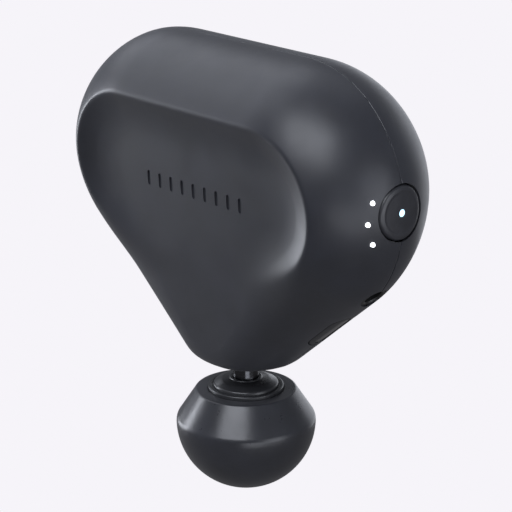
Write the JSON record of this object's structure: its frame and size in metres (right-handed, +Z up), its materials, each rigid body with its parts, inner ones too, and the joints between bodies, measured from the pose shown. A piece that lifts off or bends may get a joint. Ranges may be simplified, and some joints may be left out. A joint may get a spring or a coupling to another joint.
{
  "type": "massage gun",
  "caption": "Compact percussive massage gun: rounded-triangle casing with dished faces, side power button and lights, reciprocating shaft and pull-off ball head.",
  "frame": {"origin": "on the stroke axis at the ball head's tip, shaft fully drawn in", "axes": "+Z up along the stroke from ball to casing, +X to the power button, -Y the marked front face"},
  "size_m": [0.1336, 0.0498, 0.142],
  "materials": {
    "casing_front": "soft-touch satin",
    "casing_rear": "soft-touch satin",
    "steel_screw": "machined",
    "soft_plug": "matte",
    "rubber": "matte",
    "rubber_2": "matte",
    "cast_alloy": "cast",
    "bronze": "sintered",
    "bronze_2": "sintered",
    "zinc_can": "plated",
    "iron_core": "laminated",
    "copper_wire": "enamelled",
    "bearing_steel": "ground",
    "bearing_steel_2": "ground",
    "light_white": "frosted",
    "circuit_board": "solder mask",
    "switch_black": "moulded",
    "socket_black": "moulded",
    "nickel_pin": "plated",
    "bezel_black": "satin",
    "window_gloss": "gloss",
    "cell_sleeve": "shrink sleeve",
    "inner_plastic": "moulded",
    "chip_black": "moulded",
    "lead_red": "silicone",
    "lead_black": "silicone",
    "magnet_dark": "coated",
    "shaft_steel": "ground",
    "crank_steel": "machined",
    "rod_plastic": "machined",
    "pin_steel": "ground",
    "pin_steel_2": "ground",
    "shaft_dark": "black polished",
    "ball_foam": "closed-cell satin",
    "ball_core": "satin",
    "button_cap": "soft-touch satin",
    "button_light": "frosted"
  },
  "bodies": {
    "housing": {"front_shell": "casing_front", "rear_shell": "casing_rear", "case_screws": "steel_screw", "screw_plugs": "soft_plug", "nose_seal": "rubber", "drive_chassis": "cast_alloy", "shaft_bushings": "bronze", "chassis_screws": "steel_screw", "chassis_grommets": "rubber", "motor_can": "zinc_can", "motor_stator": "iron_core", "motor_coils": "copper_wire", "motor_bearings": "bearing_steel", "speed_lights": "light_white", "button_board": "circuit_board", "tact_switch": "switch_black", "charge_jack": "socket_black", "jack_pin": "nickel_pin", "gauge_bezel": "bezel_black", "gauge_window": "window_gloss", "battery_cells": "cell_sleeve", "cell_cradles": "inner_plastic", "main_board": "circuit_board", "board_parts": "chip_black", "board_screws": "steel_screw", "cell_leads": "lead_red", "motor_lead": "lead_black"},
    "crank": {"motor_rotor": "magnet_dark", "motor_shaft": "shaft_steel", "crank_disc": "crank_steel"},
    "connecting_link": {"connecting_rod": "rod_plastic", "crank_pin": "pin_steel", "big_end_bearing": "bearing_steel_2", "small_end_bush": "bronze_2"},
    "piston": {"output_shaft": "shaft_dark", "wrist_pin": "pin_steel_2"},
    "ball_head": {"ball_foam": "ball_foam", "ball_core": "ball_core", "detent_ring": "rubber_2"},
    "button": {"power_button": "button_cap", "button_lens": "button_light"}
  },
  "joints": [
    {"name": "motor_spin", "type": "hinge", "parent": "housing", "child": "crank", "pos_m": [0, 0, 0.1029], "axis": [0, 1, 0], "continuous": true},
    {"name": "shaft_stroke", "type": "slide", "parent": "housing", "child": "piston", "axis": [0, 0, -1], "range_m": [0, 0.012]},
    {"name": "wrist_pivot", "type": "hinge", "parent": "piston", "child": "connecting_link", "pos_m": [0, 0, 0.0789], "axis": [0, 1, 0], "range_deg": [-11.5, 11.5]},
    {"name": "ball_pull_off", "type": "slide", "parent": "piston", "child": "ball_head", "axis": [0, 0, -1], "range_m": [0, 0.03]},
    {"name": "button_press", "type": "slide", "parent": "housing", "child": "button", "axis": [-1, 0, 0], "range_m": [0, 0.0005], "stiffness_N_per_m": 4000}
  ]
}
